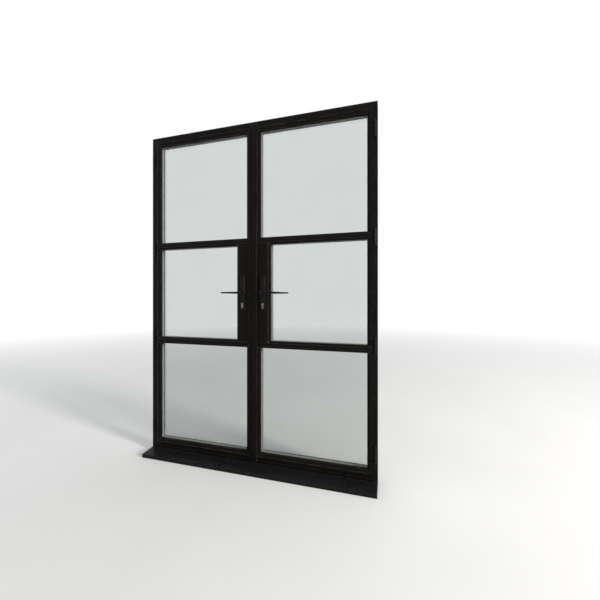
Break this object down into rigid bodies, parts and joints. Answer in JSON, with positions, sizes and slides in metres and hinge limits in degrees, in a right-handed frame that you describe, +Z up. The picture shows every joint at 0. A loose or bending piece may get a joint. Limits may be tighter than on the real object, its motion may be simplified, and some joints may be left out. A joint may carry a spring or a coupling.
{
  "type": "french doors",
  "caption": "Pair of slim black glazed doors hinged in their frame on a sloped sill, with horizontal glazing bars, lock panels, lever handles and shoot bolts.",
  "frame": {"origin": "under the middle of the sill, in the plane of the frame's outer face", "axes": "+X to the right seen from outdoors, +Y indoors, +Z up"},
  "size_m": [1.49, 0.2111, 2.129],
  "materials": {
    "profile_coating": "black satin powder coat on aluminium extrusion",
    "hinge_coating": "black satin powder coat",
    "handle_coating": "black satin coat on cast handles",
    "bright_steel": "zinc-plated steel",
    "nickel": "satin nickel",
    "clear_glass": "clear float glass",
    "black_plastic": "black plastic",
    "spacer_plastic": "grey warm-edge spacer",
    "seal_rubber": "black rubber"
  },
  "bodies": {
    "frame": {"sill": "profile_coating", "sill_end_caps": "black_plastic", "threshold": "profile_coating", "head": "profile_coating", "left_jamb": "profile_coating", "right_jamb": "profile_coating", "frame_seals": "seal_rubber", "bolt_keeps": "bright_steel", "hinge_frame_halves": "hinge_coating", "hinge_pins": "hinge_coating"},
    "left_leaf": {"left_hinge_stile": "profile_coating", "left_meeting_stile": "profile_coating", "left_top_rail": "profile_coating", "left_bottom_rail": "profile_coating", "left_upper_bar": "profile_coating", "left_lower_bar": "profile_coating", "left_lock_panel": "profile_coating", "left_outer_panes": "clear_glass", "left_inner_panes": "clear_glass", "left_glass_spacers": "spacer_plastic", "left_glazing_beads": "profile_coating", "left_gaskets": "seal_rubber", "left_hinge_leaf_halves": "hinge_coating", "left_faceplate": "bright_steel", "left_lock_case": "bright_steel", "left_lock_cylinder": "nickel", "left_backplates": "handle_coating"},
    "left_lever_set": {"left_outer_lever": "handle_coating", "left_inner_lever": "handle_coating", "left_spindle": "bright_steel"},
    "left_upper_bolt": {"left_top_bolt": "bright_steel"},
    "left_lower_bolt": {"left_bottom_bolt": "bright_steel"},
    "left_key_side": {"left_key_plug": "nickel"},
    "left_thumb_side": {"left_thumb_turn": "nickel"},
    "right_leaf": {"right_hinge_stile": "profile_coating", "right_meeting_stile": "profile_coating", "right_top_rail": "profile_coating", "right_bottom_rail": "profile_coating", "right_upper_bar": "profile_coating", "right_lower_bar": "profile_coating", "right_lock_panel": "profile_coating", "right_outer_panes": "clear_glass", "right_inner_panes": "clear_glass", "right_glass_spacers": "spacer_plastic", "right_glazing_beads": "profile_coating", "right_gaskets": "seal_rubber", "right_hinge_leaf_halves": "hinge_coating", "right_faceplate": "bright_steel", "right_lock_case": "bright_steel", "right_lock_cylinder": "nickel", "right_backplates": "handle_coating", "raised_bar": "profile_coating"},
    "right_lever_set": {"right_outer_lever": "handle_coating", "right_inner_lever": "handle_coating", "right_spindle": "bright_steel"},
    "right_upper_bolt": {"right_top_bolt": "bright_steel"},
    "right_lower_bolt": {"right_bottom_bolt": "bright_steel"},
    "right_key_side": {"right_key_plug": "nickel"},
    "right_thumb_side": {"right_thumb_turn": "nickel"},
    "central_bolt": {"deadbolt": "bright_steel"}
  },
  "joints": [
    {"name": "left_leaf_swing", "type": "hinge", "parent": "frame", "child": "left_leaf", "pos_m": [-0.73275, -0.006, 1.079], "axis": [0, 0, -1], "range_deg": [0, 110]},
    {"name": "left_lever_lift", "type": "hinge", "parent": "left_leaf", "child": "left_lever_set", "pos_m": [-0.068, 0, 1.077], "axis": [0, 1, 0], "range_deg": [0, 45]},
    {"name": "left_upper_bolt_throw", "type": "slide", "parent": "left_leaf", "child": "left_upper_bolt", "axis": [0, 0, 1], "range_m": [0, 0.012]},
    {"name": "left_lower_bolt_throw", "type": "slide", "parent": "left_leaf", "child": "left_lower_bolt", "axis": [0, 0, -1], "range_m": [0, 0.012]},
    {"name": "left_key_turn", "type": "hinge", "parent": "left_leaf", "child": "left_key_side", "pos_m": [-0.068, -0.012, 1.005], "axis": [0, 1, 0], "range_deg": [0, 360]},
    {"name": "left_thumb_turn_turn", "type": "hinge", "parent": "left_leaf", "child": "left_thumb_side", "pos_m": [-0.068, 0.074, 1.005], "axis": [0, 1, 0], "range_deg": [0, 360]},
    {"name": "right_leaf_swing", "type": "hinge", "parent": "frame", "child": "right_leaf", "pos_m": [0.73275, -0.006, 1.079], "axis": [0, 0, 1], "range_deg": [0, 110]},
    {"name": "right_lever_lift", "type": "hinge", "parent": "right_leaf", "child": "right_lever_set", "pos_m": [0.068, 0, 1.077], "axis": [0, -1, 0], "range_deg": [0, 45]},
    {"name": "right_upper_bolt_throw", "type": "slide", "parent": "right_leaf", "child": "right_upper_bolt", "axis": [0, 0, 1], "range_m": [0, 0.012]},
    {"name": "right_lower_bolt_throw", "type": "slide", "parent": "right_leaf", "child": "right_lower_bolt", "axis": [0, 0, -1], "range_m": [0, 0.012]},
    {"name": "right_key_turn", "type": "hinge", "parent": "right_leaf", "child": "right_key_side", "pos_m": [0.068, -0.012, 1.005], "axis": [0, 1, 0], "range_deg": [0, 360]},
    {"name": "right_thumb_turn_turn", "type": "hinge", "parent": "right_leaf", "child": "right_thumb_side", "pos_m": [0.068, 0.074, 1.005], "axis": [0, 1, 0], "range_deg": [0, 360]},
    {"name": "deadbolt_throw", "type": "slide", "parent": "right_leaf", "child": "central_bolt", "axis": [-1, 0, 0], "range_m": [0, 0.018]}
  ],
  "couplings": [
    {"joint": "left_upper_bolt_throw", "follows": "left_lever_lift", "m_per_rad": 0.01527},
    {"joint": "left_lower_bolt_throw", "follows": "left_lever_lift", "m_per_rad": 0.01527},
    {"joint": "right_upper_bolt_throw", "follows": "right_lever_lift", "m_per_rad": 0.01527},
    {"joint": "right_lower_bolt_throw", "follows": "right_lever_lift", "m_per_rad": 0.01527},
    {"joint": "deadbolt_throw", "follows": "right_lever_lift", "m_per_rad": 0.0229}
  ]
}
